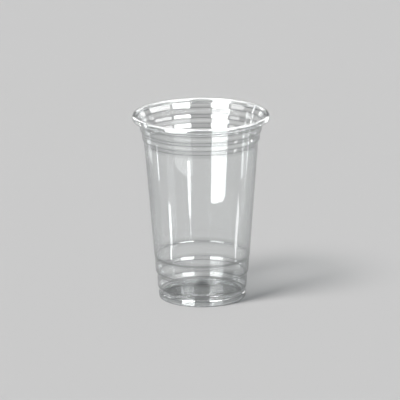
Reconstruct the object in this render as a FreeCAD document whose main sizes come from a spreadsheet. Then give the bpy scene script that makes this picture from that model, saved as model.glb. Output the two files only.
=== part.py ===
import FreeCAD, Part
import math
import os
import re
import Sketcher
from FreeCAD import Vector

# A clear disposable drinking cup, formed from one thin sheet of plastic: a footed base with its
# middle pushed up, a tapering wall with stacking shoulders low down and gripping rings high up,
# and a rolled rim that a lid snaps over.
#
# Millimetres. The cup stands on its foot, Z runs up its middle, and the origin is the centre of
# the foot, on the table. Rings and bands are sized by how far they go out and how far up.

SIZES = [
    ("cup_height", 135, "table to the top of the rim"),
    ("sheet", 0.3, "thickness of the formed sheet"),
    ("push_up", 4.0, "table to the underside of the base panel"),
    ("recess_widening", 0.7, "how much the recess under the base widens towards the table"),
    ("recess_round", 0.8, "roundings at the top and bottom of that recess"),
    ("foot_radius", 31.3, "outside of the foot"),
    ("foot_land", 2.6, "width of the ring that the cup stands on"),
    ("heel_round", 1.0, "rounding between that ring and the outside of the foot"),
    ("foot_height", 3.8, "table to the top of the upright foot"),
    ("waist_depth", 0.7, "how far the waist over the foot is drawn in"),
    ("waist_height", 1.1, "top of the foot to the middle of the waist"),
    ("shoulder_width", 1.5, "waist to the lower band, outwards"),
    ("shoulder_height", 3.7, "waist to the lower band, upwards"),
    ("lower_band_widening", 0.3, "how much the lower band widens"),
    ("lower_band_height", 8.8, "height of the lower band"),
    ("stack_step_width", 1.1, "stacking step over the lower band, outwards"),
    ("stack_step_height", 2.4, "stacking step over the lower band, upwards"),
    ("upper_band_widening", 0.5, "how much the band over the stacking step widens"),
    ("upper_band_height", 10.5, "height of that band"),
    ("bead_width", 0.4, "small step at the foot of the plain wall, outwards"),
    ("bead_height", 0.9, "small step at the foot of the plain wall, upwards"),
    ("low_ring_width", 1.3, "lower gripping ring, outwards"),
    ("low_ring_height", 3.0, "lower gripping ring, upwards"),
    ("ring_gap_widening", 0.3, "how much the band between the gripping rings widens"),
    ("ring_gap_height", 3.9, "height of that band"),
    ("high_ring_width", 1.1, "upper gripping ring, outwards"),
    ("high_ring_height", 2.4, "upper gripping ring, upwards"),
    ("neck_widening", 0.75, "how much the neck widens"),
    ("neck_height", 4.8, "height of the neck"),
    ("flare_width", 1.75, "flare from the neck to the lip, outwards"),
    ("flare_height", 3.7, "flare from the neck to the lip, upwards"),
    ("lip_height", 2.7, "foot of the upright lip to the top of the rim"),
    ("ring_round", 0.8, "roundings of the rings, shoulders, steps and waist"),
    ("rim_radius", 49.0, "outside of the rolled rim"),
    ("roll_width", 3.3, "rolled rim, from its inner to its outer side"),
    ("roll_height", 4.2, "rolled rim, from its top to its underside"),
    ("tuck_round", 1.2, "rounding of the edge that is tucked in under the roll"),
    ("tuck_turn", 140, "degrees that the tucked edge turns through"),
]

HORIZONTAL_AXIS, VERTICAL_AXIS = -1, -2
START, END, CENTRE = range(1, 4)
SAME_POINT = 1e-6

doc = FreeCAD.newDocument("drinking_cup")
sizes = doc.addObject("Spreadsheet::Sheet", "sizes")
for row, (alias, value, note) in enumerate(SIZES, start=1):
    sizes.set(f"A{row}", note)
    sizes.set(f"B{row}", str(value))
    sizes.setAlias(f"B{row}", alias)
doc.recompute()

body = doc.addObject("PartDesign::Body", "cup")
body.Label = "cup"
body.Placement = FreeCAD.Placement(Vector(0, 0, 0), FreeCAD.Rotation())
origin_feature = {feature.Role: feature for feature in body.Origin.OriginFeatures}


def measure(formula):
    """What a formula on the sizes comes to."""
    return float(sizes.evalExpression(formula))


def bind(owner, what, formula):
    """Ties a property to a formula on the sizes."""
    owner.setExpression(what, re.sub("[a-z_]+", r"sizes.\g<0>", formula))


def dimension(sketch, name, kind, where, formula):
    """Adds a named dimension to a sketch and ties it to a formula on the sizes."""
    value = measure(formula)
    if kind == "Angle":
        value = math.radians(value)
    index = sketch.addConstraint(Sketcher.Constraint(kind, *where, value))
    sketch.renameConstraint(index, name)
    bind(sketch, f"Constraints.{name}", formula)


def locate(sketch, name, point, out, up):
    """Puts a point of a sketch that far out from the axis and up from the table.
    None stands for on the axis, or on the table."""
    if out is None:
        sketch.addConstraint(Sketcher.Constraint("PointOnObject", *point, VERTICAL_AXIS))
    else:
        dimension(sketch, f"{name}_out", "DistanceX", (HORIZONTAL_AXIS, START, *point), out)
    if up is None:
        sketch.addConstraint(Sketcher.Constraint("PointOnObject", *point, HORIZONTAL_AXIS))
    else:
        dimension(sketch, f"{name}_up", "DistanceY", (HORIZONTAL_AXIS, START, *point), up)


def upright_sketch(name):
    """An empty sketch for half a section of the cup."""
    sketch = body.newObject("Sketcher::SketchObject", name)
    sketch.AttachmentSupport = [(origin_feature["XZ_Plane"], "")]
    sketch.MapMode = "FlatFace"
    return sketch


def revolved(name, sketch):
    """The solid that a section makes in one turn about the cup's axis."""
    solid = body.newObject("PartDesign::Revolution", name)
    solid.Profile = sketch
    solid.ReferenceAxis = (origin_feature["Z_Axis"], [""])
    solid.Angle = 360
    return solid


def rounding_at(corner, before, after, radius):
    """Where an arc that rounds a corner starts, its middle, and where it ends."""
    back = (before - corner).normalize()
    on = (after - corner).normalize()
    half_angle = back.getAngle(on) / 2
    reach = radius / math.tan(half_angle)
    depth = radius / math.sin(half_angle) - radius
    return corner + back * reach, corner + (back + on).normalize() * depth, corner + on * reach


def draw_outline(sketch, corners):
    """Draws a closed outline through corners, each (name, out, up, rounding). A corner is where
    its two straight sides would meet, and its rounding touches both of them."""
    count = len(corners)
    points = [Vector(measure(out or "0"), measure(up or "0"), 0) for _, out, up, _ in corners]
    arrivals, departures, arcs = list(points), list(points), {}
    for i, (_, _, _, rounding) in enumerate(corners):
        if rounding:
            spans = rounding_at(points[i], points[i - 1], points[(i + 1) % count], measure(rounding))
            arrivals[i], departures[i] = spans[0], spans[2]
            arcs[i] = Part.Arc(*spans)
    sides = [
        sketch.addGeometry(Part.LineSegment(departures[i], arrivals[(i + 1) % count]))
        for i in range(count)
    ]
    for i, (name, out, up, rounding) in enumerate(corners):
        before, after = sides[i - 1], sides[i]
        if not rounding:
            sketch.addConstraint(Sketcher.Constraint("Coincident", before, END, after, START))
            locate(sketch, name, (after, START), out, up)
            continue
        arc = sketch.addGeometry(arcs[i])
        forward = sketch.getPoint(arc, START).isEqual(arrivals[i], SAME_POINT)
        first, last = (START, END) if forward else (END, START)
        sketch.addConstraint(Sketcher.Constraint("Tangent", before, END, arc, first))
        sketch.addConstraint(Sketcher.Constraint("Tangent", arc, last, after, START))
        dimension(sketch, f"{name}_round", "Radius", (arc,), rounding)
        corner = sketch.addGeometry(Part.Point(points[i]), True)
        sketch.addConstraint(Sketcher.Constraint("PointOnObject", corner, START, before))
        sketch.addConstraint(Sketcher.Constraint("PointOnObject", corner, START, after))
        locate(sketch, name, (corner, START), out, up)


def staircase(out, up, steps):
    """Corners that follow on from a start, each (name, change outwards, change upwards, rounding)."""
    corners = []
    for name, out_change, up_change, rounding in steps:
        out += out_change
        up += up_change
        corners.append((name, out, up, rounding))
    return corners


# The solid blank, with the cup's outside shape

LIP_OUTSIDE = "rim_radius - roll_width + sheet"
ROLL_START = "cup_height - roll_width / 2"
RECESS = "foot_radius - foot_land"

base_corners = [
    ("panel_middle", None, "push_up", None),
    ("panel_edge", f"{RECESS} - recess_widening", "push_up", "recess_round"),
    ("land_inside", RECESS, None, "recess_round"),
    ("heel", "foot_radius", None, "heel_round"),
    ("foot_top", "foot_radius", "foot_height", "ring_round"),
]
lower_corners = staircase(
    "foot_radius",
    "foot_height",
    [
        ("waist", " - waist_depth", " + waist_height", "ring_round"),
        ("shoulder", " + shoulder_width", " + shoulder_height", "ring_round"),
        ("lower_band", " + lower_band_widening", " + lower_band_height", "ring_round"),
        ("stack_step", " + stack_step_width", " + stack_step_height", "ring_round"),
        ("upper_band", " + upper_band_widening", " + upper_band_height", "ring_round"),
        ("bead", " + bead_width", " + bead_height", "ring_round"),
    ],
)
upper_corners = staircase(
    LIP_OUTSIDE,
    "cup_height",
    [
        ("lip", "", " - lip_height", "ring_round"),
        ("flare", " - flare_width", " - flare_height", "ring_round"),
        ("neck", " - neck_widening", " - neck_height", "ring_round"),
        ("high_ring", " - high_ring_width", " - high_ring_height", "ring_round"),
        ("ring_gap", " - ring_gap_widening", " - ring_gap_height", "ring_round"),
        ("low_ring", " - low_ring_width", " - low_ring_height", "ring_round"),
    ],
)
mouth_corners = [
    ("mouth_edge", LIP_OUTSIDE, ROLL_START, None),
    ("mouth_middle", None, ROLL_START, None),
]

outside = upright_sketch("outside")
draw_outline(outside, base_corners + lower_corners + upper_corners[::-1] + mouth_corners)
blank = revolved("blank", outside)
doc.recompute()

# The sheet's thickness, taken inwards with the mouth left open

mouth_face = max(range(len(blank.Shape.Faces)), key=lambda i: blank.Shape.Faces[i].CenterOfMass.z)
shell = body.newObject("PartDesign::Thickness", "shell")
shell.Base = (blank, [f"Face{mouth_face + 1}"])
shell.Reversed = True
shell.Mode = "Skin"
shell.Join = "Arc"
bind(shell, "Value", "sheet")
doc.recompute()


# The rolled rim, which goes on from the lip's edge

ROLL_ROUND = "roll_width / 2"
TUCK_CENTRE = "cup_height - roll_height + tuck_round"


def draw_roll(sketch):
    """The roll's section: over from the lip, down its outside, and tucked in underneath."""
    middle = Vector(measure(f"rim_radius - {ROLL_ROUND}"), measure(ROLL_START), 0)
    tuck_middle = Vector(measure("rim_radius - tuck_round"), measure(TUCK_CENTRE), 0)
    turn = math.radians(measure("tuck_turn"))
    over, tucks = [], []
    for skin in ("0", "sheet"):
        over_circle = Part.Circle(middle, Vector(0, 0, 1), measure(f"{ROLL_ROUND} - {skin}"))
        tuck_circle = Part.Circle(tuck_middle, Vector(0, 0, 1), measure(f"tuck_round - {skin}"))
        over.append(sketch.addGeometry(Part.ArcOfCircle(over_circle, 0, math.pi)))
        tucks.append(sketch.addGeometry(Part.ArcOfCircle(tuck_circle, -turn, 0)))
    sides = []
    for top, bottom in zip(over, tucks):
        side = Part.LineSegment(sketch.getPoint(top, START), sketch.getPoint(bottom, END))
        sides.append(sketch.addGeometry(side))
        sketch.addConstraint(Sketcher.Constraint("Tangent", top, START, sides[-1], START))
        sketch.addConstraint(Sketcher.Constraint("Tangent", sides[-1], END, bottom, END))
    for name, (outer, inner), end in (("lip_edge", over, END), ("tucked_edge", tucks, START)):
        edge = Part.LineSegment(sketch.getPoint(outer, end), sketch.getPoint(inner, end))
        edge = sketch.addGeometry(edge)
        sketch.addConstraint(Sketcher.Constraint("Coincident", edge, START, outer, end))
        sketch.addConstraint(Sketcher.Constraint("Coincident", edge, END, inner, end))
        sketch.addConstraint(Sketcher.Constraint("Coincident", outer, CENTRE, inner, CENTRE))
        sketch.addConstraint(Sketcher.Constraint("PointOnObject", outer, CENTRE, edge))
        if name == "lip_edge":
            sketch.addConstraint(Sketcher.Constraint("Horizontal", edge))
        else:
            dimension(sketch, "tuck_angle", "Angle", (edge,), "180 - tuck_turn")
    sketch.addConstraint(Sketcher.Constraint("Vertical", sides[0]))
    dimension(sketch, "over_outer", "Radius", (over[0],), ROLL_ROUND)
    dimension(sketch, "over_inner", "Radius", (over[1],), f"{ROLL_ROUND} - sheet")
    dimension(sketch, "tuck_outer", "Radius", (tucks[0],), "tuck_round")
    dimension(sketch, "tuck_inner", "Radius", (tucks[1],), "tuck_round - sheet")
    locate(sketch, "over", (over[0], CENTRE), f"rim_radius - {ROLL_ROUND}", ROLL_START)
    tuck_point = (HORIZONTAL_AXIS, START, tucks[0], CENTRE)
    dimension(sketch, "tuck_up", "DistanceY", tuck_point, TUCK_CENTRE)


roll = upright_sketch("roll")
draw_roll(roll)
revolved("rolled_rim", roll)
doc.recompute()

# Checks before anything is written

failed = [o.Label for o in doc.Objects if {"Invalid", "Error"} & set(o.State)]
if failed:
    raise ValueError(f"failed to build: {failed}")
cup = body.Shape
if cup.isNull() or not cup.isValid() or len(cup.Solids) != 1:
    raise ValueError("the cup isn't one valid solid")

os.makedirs("parts", exist_ok=True)
cup.exportStep(f"parts/{body.Label}.step")
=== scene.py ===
from math import atan2, cos, hypot, pi, radians, sin, tan

import bmesh
import bpy
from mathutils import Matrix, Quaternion, Vector


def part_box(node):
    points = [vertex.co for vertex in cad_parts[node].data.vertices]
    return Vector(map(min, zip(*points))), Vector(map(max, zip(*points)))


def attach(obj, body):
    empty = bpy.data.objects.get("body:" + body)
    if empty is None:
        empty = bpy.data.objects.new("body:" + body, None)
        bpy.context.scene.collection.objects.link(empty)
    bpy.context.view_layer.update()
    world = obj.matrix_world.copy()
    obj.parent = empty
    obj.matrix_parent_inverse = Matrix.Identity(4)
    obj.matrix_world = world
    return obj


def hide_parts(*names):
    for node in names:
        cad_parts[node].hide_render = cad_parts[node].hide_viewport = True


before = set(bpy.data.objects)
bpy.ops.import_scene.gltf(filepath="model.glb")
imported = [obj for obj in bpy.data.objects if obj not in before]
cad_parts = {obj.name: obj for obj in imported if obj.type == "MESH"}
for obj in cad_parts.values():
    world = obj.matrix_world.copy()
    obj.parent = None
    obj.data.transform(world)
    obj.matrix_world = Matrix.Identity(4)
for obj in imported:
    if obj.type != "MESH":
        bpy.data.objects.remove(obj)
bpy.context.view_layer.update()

# Sizes of the formed sheet, in metres, as the solid has them

MM = 0.001
CUP_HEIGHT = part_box("cup")[1].z
RIM_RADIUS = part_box("cup")[1].x
SHEET = 0.3 * MM
RING_ROUND = 0.8 * MM
HEEL_ROUND = 1.0 * MM
ROLL_WIDTH = 3.3 * MM
ROLL_HEIGHT = 4.2 * MM
TUCK_ROUND = 1.2 * MM
TUCK_TURN = radians(140)
FOOT_RADIUS = 31.3 * MM
FOOT_LAND = 2.6 * MM
RECESS_WIDENING = 0.7 * MM
PUSH_UP = 4.0 * MM
FOOT_HEIGHT = 3.8 * MM

# Steps of the wall, each (outwards, upwards): up from the foot's top, and down from the lip's top

LOWER_STEPS = {
    "waist": (-0.7 * MM, 1.1 * MM),
    "shoulder": (1.5 * MM, 3.7 * MM),
    "lower_band": (0.3 * MM, 8.8 * MM),
    "stack_step": (1.1 * MM, 2.4 * MM),
    "upper_band": (0.5 * MM, 10.5 * MM),
    "bead": (0.4 * MM, 0.9 * MM),
}
UPPER_STEPS = {
    "lip": (0.0, -2.7 * MM),
    "flare": (-1.75 * MM, -3.7 * MM),
    "neck": (-0.75 * MM, -4.8 * MM),
    "high_ring": (-1.1 * MM, -2.4 * MM),
    "ring_gap": (-0.3 * MM, -3.9 * MM),
    "low_ring": (-1.3 * MM, -3.0 * MM),
}

# How finely the mesh is cut

TURN_STEPS = 224
ROUND_STEPS = 4
OVER_STEPS = 14
TUCK_STEPS = 9
LONGEST_CUT = 3.0 * MM
SAME_PLACE = 1e-7
SMOOTH_BELOW = radians(40)
FOLD_BORDER = 0.15 * MM

# How far from a corner of the section the sheet still counts as folded, and so gets painted shade

FOLD_REACH = 0.45 * MM

# Waves of the drawn wall: how many go round it, how they drift on the way up, and where they start

WAVE_DEPTH = 0.02 * MM
WALL_WAVES = [(5, 2.0, 0.4), (9, -1.5, 2.1), (14, 1.2, 4.4), (23, -0.8, 1.3), (31, 0.6, 5.2)]


def start_line(name, point):
    """A mesh of one vertex, left in edit mode: a small plane merged at its middle."""
    bpy.ops.object.select_all(action="DESELECT")
    bpy.ops.mesh.primitive_plane_add(size=MM, location=point)
    line = bpy.context.object
    line.name = line.data.name = name
    bpy.ops.object.transform_apply(location=True, rotation=False, scale=False)
    bpy.ops.object.mode_set(mode="EDIT")
    bpy.ops.mesh.merge(type="CENTER")
    return line


def section_point(out, up):
    """A point of the cup's half section, which is drawn in the XZ plane."""
    return Vector((out, 0, up))


def select_points(piece, places):
    """Selects the vertices at these places, and nothing else."""
    bpy.ops.mesh.select_mode(type="VERT")
    bpy.ops.mesh.select_all(action="DESELECT")
    mesh = bmesh.from_edit_mesh(piece.data)
    for place in places:
        nearest = min(mesh.verts, key=lambda vertex: (vertex.co - place).length)
        nearest.select = True
    mesh.select_flush_mode()
    bmesh.update_edit_mesh(piece.data)


def round_corner(piece, before, corner, after, radius):
    """Rounds one corner of the section with an arc that touches both of its sides."""
    half_angle = (before - corner).angle(after - corner) / 2
    select_points(piece, [corner])
    bpy.ops.mesh.bevel(
        offset=radius / tan(half_angle),
        affect="VERTICES",
        segments=ROUND_STEPS,
        profile=0.5,
    )


def cut_long_stretches(piece):
    """Cuts each long straight stretch of the section into shorter ones."""
    bpy.ops.mesh.select_mode(type="EDGE")
    mesh = bmesh.from_edit_mesh(piece.data)
    ends = [
        tuple(vertex.co.copy() for vertex in edge.verts)
        for edge in mesh.edges
        if edge.calc_length() > LONGEST_CUT
    ]
    for start, end in ends:
        select_points(piece, [start, end])
        bpy.ops.mesh.select_mode(type="EDGE")
        bpy.ops.mesh.subdivide(number_cuts=int((end - start).length / LONGEST_CUT))


def section_corners():
    """Corners of the cup's outside from the middle of the base to the lip, each (place, rounding)."""
    lip_outside = RIM_RADIUS - ROLL_WIDTH + SHEET
    recess = FOOT_RADIUS - FOOT_LAND
    corners = [
        (section_point(0, PUSH_UP), 0),
        (section_point(recess - RECESS_WIDENING, PUSH_UP), RING_ROUND),
        (section_point(recess, 0), RING_ROUND),
        (section_point(FOOT_RADIUS, 0), HEEL_ROUND),
        (section_point(FOOT_RADIUS, FOOT_HEIGHT), RING_ROUND),
    ]
    place = corners[-1][0]
    for out, up in LOWER_STEPS.values():
        place = place + section_point(out, up)
        corners.append((place, RING_ROUND))
    place, upper = section_point(lip_outside, CUP_HEIGHT), []
    for out, up in UPPER_STEPS.values():
        place = place + section_point(out, up)
        upper.append((place, RING_ROUND))
    lip_top = section_point(lip_outside, CUP_HEIGHT - ROLL_WIDTH / 2)
    return corners + upper[::-1] + [(lip_top, 0)]


def with_borders(corners):
    """The corners with a point on each side of every rounding, just past the end of its arc."""
    outline = [corners[0]]
    for (before, _), (corner, rounding), (after, _) in zip(corners, corners[1:], corners[2:]):
        reach = rounding / tan((before - corner).angle(after - corner) / 2) + FOLD_BORDER
        outline.append((corner + (before - corner).normalized() * reach, 0))
        outline.append((corner, rounding))
        outline.append((corner + (after - corner).normalized() * reach, 0))
    return outline + [corners[-1]]


def roll_the_rim():
    """Carries the section on from the lip: over the top, down outside, and tucked in underneath."""
    over_middle = section_point(RIM_RADIUS - ROLL_WIDTH / 2, CUP_HEIGHT - ROLL_WIDTH / 2)
    tuck_middle = section_point(RIM_RADIUS - TUCK_ROUND, CUP_HEIGHT - ROLL_HEIGHT + TUCK_ROUND)
    bpy.ops.mesh.spin(steps=OVER_STEPS, angle=pi, center=over_middle, axis=(0, -1, 0))
    drop = section_point(0, tuck_middle.z - over_middle.z)
    bpy.ops.mesh.extrude_region_move(TRANSFORM_OT_translate={"value": drop})
    bpy.ops.mesh.spin(steps=TUCK_STEPS, angle=TUCK_TURN, center=tuck_middle, axis=(0, -1, 0))


def turn_about_the_middle(piece):
    """Turns the section into the cup's outside skin, closed at the middle of its base. The face of
    the lower wall that looks most to one side shows which way the skin points."""
    bpy.ops.mesh.select_all(action="SELECT")
    bpy.ops.mesh.spin(steps=TURN_STEPS, angle=2 * pi, center=(0, 0, 0), axis=(0, 0, 1))
    bpy.ops.mesh.select_all(action="SELECT")
    bpy.ops.mesh.remove_doubles(threshold=SAME_PLACE)
    bpy.ops.mesh.normals_make_consistent(inside=False)
    mesh = bmesh.from_edit_mesh(piece.data)
    low_faces = [face for face in mesh.faces if face.calc_center_median().z < CUP_HEIGHT / 2]
    wall_face = max(low_faces, key=lambda face: abs(face.normal.x))
    centre = wall_face.calc_center_median()
    if wall_face.normal.dot(Vector((centre.x, centre.y, 0))) < 0:
        bpy.ops.mesh.flip_normals()


def formed_cup():
    """The whole cup: one sheet, drawn as its outside skin and given its thickness inwards."""
    corners = section_corners()
    outline = with_borders(corners)
    places = [place for place, _ in outline]
    cup = start_line("clear_cup", places[0])
    for before, after in zip(places, places[1:]):
        bpy.ops.mesh.extrude_region_move(TRANSFORM_OT_translate={"value": after - before})
    roll_the_rim()
    for i, (corner, rounding) in enumerate(outline):
        if rounding:
            round_corner(cup, places[i - 1], corner, places[i + 1], rounding)
    cut_long_stretches(cup)
    turn_about_the_middle(cup)
    bpy.ops.object.mode_set(mode="OBJECT")
    draw_the_wall(cup)
    sheet = cup.modifiers.new("sheet", "SOLIDIFY")
    sheet.thickness = SHEET
    sheet.offset = -1
    sheet.use_even_offset = True
    bpy.ops.object.modifier_apply(modifier=sheet.name)
    bpy.ops.object.shade_smooth_by_angle(angle=SMOOTH_BELOW)
    # A mask of nearness to the folds, for their painted shade
    mark_fold_shade_mask(cup, [corner for corner, rounding in corners if rounding])
    return cup


def draw_the_wall(piece):
    """Gives the plain wall the faint, mostly upright waves of a sheet that was drawn hot."""
    bottom = sum(up for _, up in LOWER_STEPS.values()) + FOOT_HEIGHT
    top = CUP_HEIGHT + sum(up for _, up in UPPER_STEPS.values())
    for vertex in piece.data.vertices:
        share = (vertex.co.z - bottom) / (top - bottom)
        if 0 < share < 1:
            turn = atan2(vertex.co.y, vertex.co.x)
            wave = sum(sin(count * turn + drift * share + start) for count, drift, start in WALL_WAVES)
            grow = 1 + WAVE_DEPTH * wave * sin(pi * share) / hypot(vertex.co.x, vertex.co.y)
            vertex.co.x *= grow
            vertex.co.y *= grow


def mark_fold_shade_mask(piece, corners):
    """Writes how near each point is to a rounded fold of the sheet, from 0 on a flat stretch to 1: the
    mask for the painted shade on the folds.
    """
    folds = piece.data.attributes.new("fold", "FLOAT", "POINT")
    for i, vertex in enumerate(piece.data.vertices):
        here = section_point(hypot(vertex.co.x, vertex.co.y), vertex.co.z)
        gap = min((here - corner).length for corner in corners)
        folds.data[i].value = max(0.0, 1 - gap / FOLD_REACH)


# Materials: linear colours, lengths in metres, and scales as a noise's cycles in a metre

PLASTIC_IOR = 1.57
CLEAR_COLOUR = (0.93, 0.94, 0.94, 1)
# Painted shade: the plastic's colour where its skin is seen edge-on, for dark edges
PAINTED_EDGE_SHADE = (0.22, 0.235, 0.24, 1)
# Painted shade: the plastic's colour on its folds, for dark lines along them
PAINTED_FOLD_SHADE = (0.14, 0.15, 0.15, 1)
SHADOW_CLEAR_COLOUR = (0.93, 0.935, 0.935, 1)
SHADOW_EDGE_COLOUR = (0.55, 0.56, 0.57, 1)
EDGE_POWER = 2.5
RELIEF_DEPTH = 0.02 * MM
HAZE_SCALE = 90.0
HAZE_DETAIL = 6.0
NOISE_MIDDLE = (0.35, 0.75)
ROUGHNESS = (0.005, 0.03)
MARK_DETAIL = 2.0
LINES_PER_RADIAN = 14.0
LINES_PER_METRE = 14.0
RIPPLE_SCALE = (12, 12, 420)
RIPPLES_FADE = (30 * MM, 45 * MM)
FLOOR_COLOUR = (0.66, 0.66, 0.66, 1)


def feed(tree, socket, source):
    """Gives a socket a plain value, or links it to another node's output."""
    if isinstance(source, bpy.types.NodeSocket):
        tree.links.new(source, socket)
    else:
        socket.default_value = source


def node(tree, kind, place, **settings):
    """A new node at a place in the tree. Each setting is an input of it or one of its choices."""
    made = tree.nodes.new(kind)
    made.location = place
    for name, value in settings.items():
        if name in made.inputs:
            feed(tree, made.inputs[name], value)
        else:
            setattr(made, name, value)
    return made


def calculate(tree, place, operation, first, second):
    """What a Math node makes of two values."""
    made = node(tree, "ShaderNodeMath", place, operation=operation)
    for socket, value in zip(made.inputs, (first, second)):
        feed(tree, socket, value)
    return made.outputs["Value"]


def noise(tree, place, pattern, scale, detail):
    """A soft noise over a pattern's coordinates."""
    made = node(tree, "ShaderNodeTexNoise", place, Vector=pattern, Scale=scale, Detail=detail)
    return made.outputs["Fac"]


def spread(tree, place, value, from_range, to_range, curve="LINEAR"):
    """Spreads one range of values over another, and holds what lies outside at its ends."""
    made = node(tree, "ShaderNodeMapRange", place, Value=value, interpolation_type=curve)
    made.inputs["From Min"].default_value, made.inputs["From Max"].default_value = from_range
    made.inputs["To Min"].default_value, made.inputs["To Max"].default_value = to_range
    return made.outputs["Result"]


def blend(tree, place, share, from_colour, to_colour):
    """One colour where the share is 0, another where it is 1, and a blend of them between."""
    made = node(tree, "ShaderNodeMix", place, data_type="RGBA", Factor=share)
    colours = [socket for socket in made.inputs if socket.type == "RGBA"]
    for socket, colour in zip(colours, (from_colour, to_colour)):
        feed(tree, socket, colour)
    return next(socket for socket in made.outputs if socket.type == "RGBA")


def new_material(name):
    """A material whose node tree is still empty."""
    material = bpy.data.materials.new(name)
    material.use_nodes = True
    tree = material.node_tree
    tree.nodes.clear()
    return material, tree


def draw_lines(tree):
    """Height of the fine upright lines that drawing leaves in the sheet: noise far longer than wide."""
    place = node(tree, "ShaderNodeTexCoord", (-1900, -400))
    split = node(tree, "ShaderNodeSeparateXYZ", (-1700, -400), Vector=place.outputs["Object"])
    turn = calculate(tree, (-1500, -300), "ARCTAN2", split.outputs["Y"], split.outputs["X"])
    around = calculate(tree, (-1300, -300), "MULTIPLY", turn, LINES_PER_RADIAN)
    along = calculate(tree, (-1300, -500), "MULTIPLY", split.outputs["Z"], LINES_PER_METRE)
    both = node(tree, "ShaderNodeCombineXYZ", (-1100, -400), X=around, Y=along)
    return noise(tree, (-900, -400), both.outputs["Vector"], 1.0, MARK_DETAIL)


def chill_marks(tree):
    """Height of the level ripples near the base, where the hot sheet first met the cold mould."""
    place = node(tree, "ShaderNodeTexCoord", (-1900, -900)).outputs["Object"]
    flat = node(tree, "ShaderNodeMapping", (-1700, -900), Vector=place, Scale=RIPPLE_SCALE)
    ripple = noise(tree, (-1500, -900), flat.outputs["Vector"], 1.0, MARK_DETAIL)
    split = node(tree, "ShaderNodeSeparateXYZ", (-1700, -1200), Vector=place)
    low = spread(tree, (-1500, -1200), split.outputs["Z"], RIPPLES_FADE, (1.0, 0.0))
    return calculate(tree, (-1300, -1000), "MULTIPLY", ripple, low)


def clear_plastic():
    """Clear formed sheet, with painted shade that darkens it where it is seen along its skin and on its
    folds. It lets light through to the floor, so that its shadow is a clear cup's."""
    material, tree = new_material("clear_plastic")
    # Painted shade: the colour darkens where the skin is seen edge-on
    slant = node(tree, "ShaderNodeLayerWeight", (-1300, 600), Blend=0.5)
    steep = calculate(tree, (-1100, 600), "POWER", slant.outputs["Facing"], EDGE_POWER)
    # Painted shade along the folds, by the fold mask
    fold = node(tree, "ShaderNodeAttribute", (-1100, 900), attribute_name="fold")
    skin = blend(tree, (-700, 500), steep, CLEAR_COLOUR, PAINTED_EDGE_SHADE)
    colour = blend(tree, (-400, 600), fold.outputs["Fac"], skin, PAINTED_FOLD_SHADE)
    place = node(tree, "ShaderNodeTexCoord", (-1100, 0))
    haze = noise(tree, (-900, 200), place.outputs["Object"], HAZE_SCALE, HAZE_DETAIL)
    roughness = spread(tree, (-450, 200), haze, NOISE_MIDDLE, ROUGHNESS)
    marks = calculate(tree, (-500, -500), "ADD", draw_lines(tree), chill_marks(tree))
    relief = node(tree, "ShaderNodeBump", (-300, -400), Height=marks, Strength=1.0)
    relief.inputs["Distance"].default_value = RELIEF_DEPTH
    plastic = node(tree, "ShaderNodeBsdfPrincipled", (0, 0), Roughness=roughness)
    tree.links.new(colour, plastic.inputs["Base Color"])
    tree.links.new(relief.outputs["Normal"], plastic.inputs["Normal"])
    plastic.inputs["Transmission Weight"].default_value = 1.0
    plastic.inputs["IOR"].default_value = PLASTIC_IOR
    shade = blend(tree, (-300, -800), steep, SHADOW_CLEAR_COLOUR, SHADOW_EDGE_COLOUR)
    shadow = node(tree, "ShaderNodeBsdfTransparent", (0, -700), Color=shade)
    rays = node(tree, "ShaderNodeLightPath", (0, 400))
    choice = node(tree, "ShaderNodeMixShader", (350, 0), Fac=rays.outputs["Is Shadow Ray"])
    _, seen, cast = choice.inputs
    tree.links.new(plastic.outputs["BSDF"], seen)
    tree.links.new(shadow.outputs["BSDF"], cast)
    node(tree, "ShaderNodeOutputMaterial", (550, 0), Surface=choice.outputs["Shader"])
    return material


def floor_material():
    """A plain pale floor with no gloss, in which no lamp can show."""
    material, tree = new_material("pale_floor")
    surface = node(tree, "ShaderNodeBsdfDiffuse", (0, 0), Color=FLOOR_COLOUR)
    node(tree, "ShaderNodeOutputMaterial", (300, 0), Surface=surface.outputs["BSDF"])
    return material


# The stage: floor and surroundings

FLOOR_RADIUS = 6.0
FLOOR_GAP = 0.05 * MM
PALE_BELOW = radians(5)
DARK_ABOVE = radians(14)
HORIZON_LEVEL = 0.59
SKY_LEVEL = 0.02


def lay_floor():
    """A wide round floor, a hair below the cup's foot. Its edge is lost in the pale surroundings."""
    bpy.ops.object.select_all(action="DESELECT")
    bpy.ops.mesh.primitive_circle_add(
        vertices=96,
        radius=FLOOR_RADIUS,
        fill_type="NGON",
        location=(0, 0, -FLOOR_GAP),
    )
    floor = bpy.context.object
    floor.name = floor.data.name = "floor"
    floor.data.materials.append(floor_material())


def surround():
    """Surroundings that are as pale as the lit floor at the horizon, and turn dark above it."""
    world = bpy.data.worlds.new("studio")
    world.use_nodes = True
    tree = world.node_tree
    tree.nodes.clear()
    place = node(tree, "ShaderNodeTexCoord", (-800, 0))
    split = node(tree, "ShaderNodeSeparateXYZ", (-600, 0), Vector=place.outputs["Generated"])
    rise = (sin(PALE_BELOW), sin(DARK_ABOVE))
    levels = (HORIZON_LEVEL, SKY_LEVEL)
    level = spread(tree, (-400, 0), split.outputs["Z"], rise, levels, curve="SMOOTHSTEP")
    background = node(tree, "ShaderNodeBackground", (-100, 0), Color=level)
    node(tree, "ShaderNodeOutputWorld", (100, 0), Surface=background.outputs["Background"])
    bpy.context.scene.world = world


# Lamps. A side is an azimuth in degrees from the camera's, to the right, and heights are in metres

WINDOW_DISTANCE = 0.48


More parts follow.
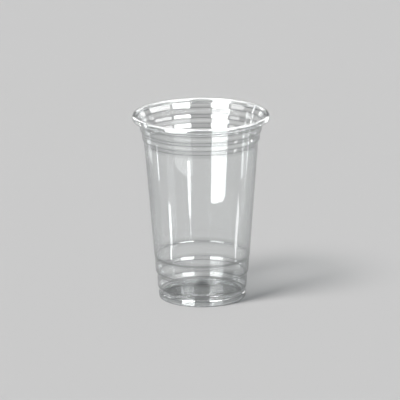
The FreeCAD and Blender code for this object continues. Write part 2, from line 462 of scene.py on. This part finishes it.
def room_light(side, elevation, strength, spread_angle):
    """Soft light from far off, which lights the floor evenly and gives the cup its shadow."""
    bpy.ops.object.light_add(type="SUN")
    lamp = bpy.context.object
    lamp.name = lamp.data.name = "room_light"
    lamp.data.energy = strength
    lamp.data.angle = radians(spread_angle)
    turn, rise = radians(side), radians(elevation)
    towards = Vector((sin(turn) * cos(rise), -cos(turn) * cos(rise), sin(rise)))
    lamp.rotation_mode = "QUATERNION"
    lamp.rotation_quaternion = (-towards).to_track_quat("-Z", "Y")


def gloss_panel(name, width, height, brightness, place):
    """A bright panel that shows in gloss and through the plastic, but not on the floor. Its power
    goes up with its area, so that a brightness looks the same at any size."""
    bpy.ops.object.light_add(type="AREA", location=place)
    lamp = bpy.context.object
    lamp.name = lamp.data.name = name
    lamp.data.shape = "RECTANGLE"
    lamp.data.size, lamp.data.size_y = width, height
    lamp.data.energy = brightness * pi * width * height
    lamp.visible_camera = False
    lamp.visible_diffuse = False
    return lamp


def window(name, side, span, bottom, top, brightness, distance=WINDOW_DISTANCE, turned=0):
    """An upright panel. Its span is the angle that it takes when it faces the cup, and it may be
    turned away from that, in degrees."""
    turn, facing = radians(side), radians(side + turned)
    width, height = 2 * distance * tan(radians(span) / 2), top - bottom
    middle = Vector((sin(turn) * distance, -cos(turn) * distance, bottom + height / 2))
    lamp = gloss_panel(name, width, height, brightness, middle)
    lamp.rotation_mode = "QUATERNION"
    lamp.rotation_quaternion = Vector((-sin(facing), cos(facing), 0)).to_track_quat("-Z", "Y")


def place_lamps():
    """Light for the floor, and the panels that the cup's clear skin mirrors."""
    room_light(side=-50, elevation=55, strength=3.3, spread_angle=18)
    gloss_panel("ceiling", width=2.8, height=2.8, brightness=4, place=(0, 0, 1.7))

    # Windows on the camera's side and at the right, for the broad patches and the white rim
    window("window_left", -41, 37, 0.3, 1.6, 14, distance=0.455)
    window("window_left_low", -41, 37, 0, 0.3, 9, distance=0.455)
    window("window_right", 41, 37, 0.3, 1.6, 12)
    window("window_right_middle", 41, 37, 0.18, 0.3, 9)
    window("window_right_sill", 41, 37, 0, 0.06, 2.5, distance=0.67)
    window("side_right", 90, 50, 0.3, 1.4, 5)

    # Low strips at the right, for thin streaks. A turned one faces either the near or the far wall
    window("strip_right", 28, 2.4, 0, 0.063, 9, distance=0.235)
    window("strip_side", 90, 12, 0, 0.042, 12, distance=0.115, turned=-80)
    window("strip_side_near", 75, 14, 0, 0.042, 3.5, distance=0.12, turned=80)
    window("strip_side_foot", 102, 9, 0, 0.016, 12, distance=0.068, turned=-65)
    window("strip_behind", 112, 3, 0.026, 0.055, 10, distance=0.3)

    # Panels at the left and behind, for marks along the left side and light on top of the rim
    window("side_left", -90, 50, 0.35, 1.4, 3.5)
    window("strip_left", -101, 7, 0, 0.3, 5)
    window("strip_back_left", -118, 3, 0, 0.4, 7)
    window("back_left", -145, 14, 0.1, 0.5, 4)
    window("back_right", 140, 20, 0, 0.5, 3)
    window("back_high", 180, 70, 0.6, 2.2, 2, distance=1.5)


# The camera, fitted to the outlines in the photo, whose sizes and places are in its pixels

CAMERA_ELEVATION = radians(15.2)
CAMERA_DISTANCE = 2.5
CAMERA_ROLL = radians(-0.48)
FRAME_PIXELS = 400
FOCAL_PIXELS = 3485
MIDDLE_IN_PHOTO = (201.6, 204.8)


def aim_camera():
    """The photo's view: the cup's middle lands on its pixel in the photo."""
    bpy.ops.object.camera_add()
    camera = bpy.context.object
    camera.name = "photo_view"
    camera.data.lens = camera.data.sensor_width * FOCAL_PIXELS / FRAME_PIXELS
    ahead = Vector((0, cos(CAMERA_ELEVATION), -sin(CAMERA_ELEVATION)))
    turn = ahead.to_track_quat("-Z", "Y") @ Quaternion((0, 0, 1), CAMERA_ROLL)
    right, up = turn @ Vector((1, 0, 0)), turn @ Vector((0, 1, 0))
    scale = CAMERA_DISTANCE / FOCAL_PIXELS
    aside = (FRAME_PIXELS / 2 - MIDDLE_IN_PHOTO[0]) * scale
    above = (MIDDLE_IN_PHOTO[1] - FRAME_PIXELS / 2) * scale
    middle = Vector((0, 0, CUP_HEIGHT / 2)) + right * aside + up * above
    camera.location = middle - ahead * CAMERA_DISTANCE
    camera.rotation_mode = "QUATERNION"
    camera.rotation_quaternion = turn
    bpy.context.scene.camera = camera


aim_camera()
cup = formed_cup()
cup.data.materials.append(clear_plastic())
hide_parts("cup")
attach(cup, "root")

lay_floor()
surround()
place_lamps()

# A view through the cup crosses many skins, so light may pass on through that many

scene = bpy.context.scene
scene.view_settings.view_transform = "Standard"
scene.cycles.transmission_bounces = 24
scene.cycles.max_bounces = 24
scene.cycles.transparent_max_bounces = 32
scene.cycles.caustics_reflective = False
scene.cycles.caustics_refractive = False
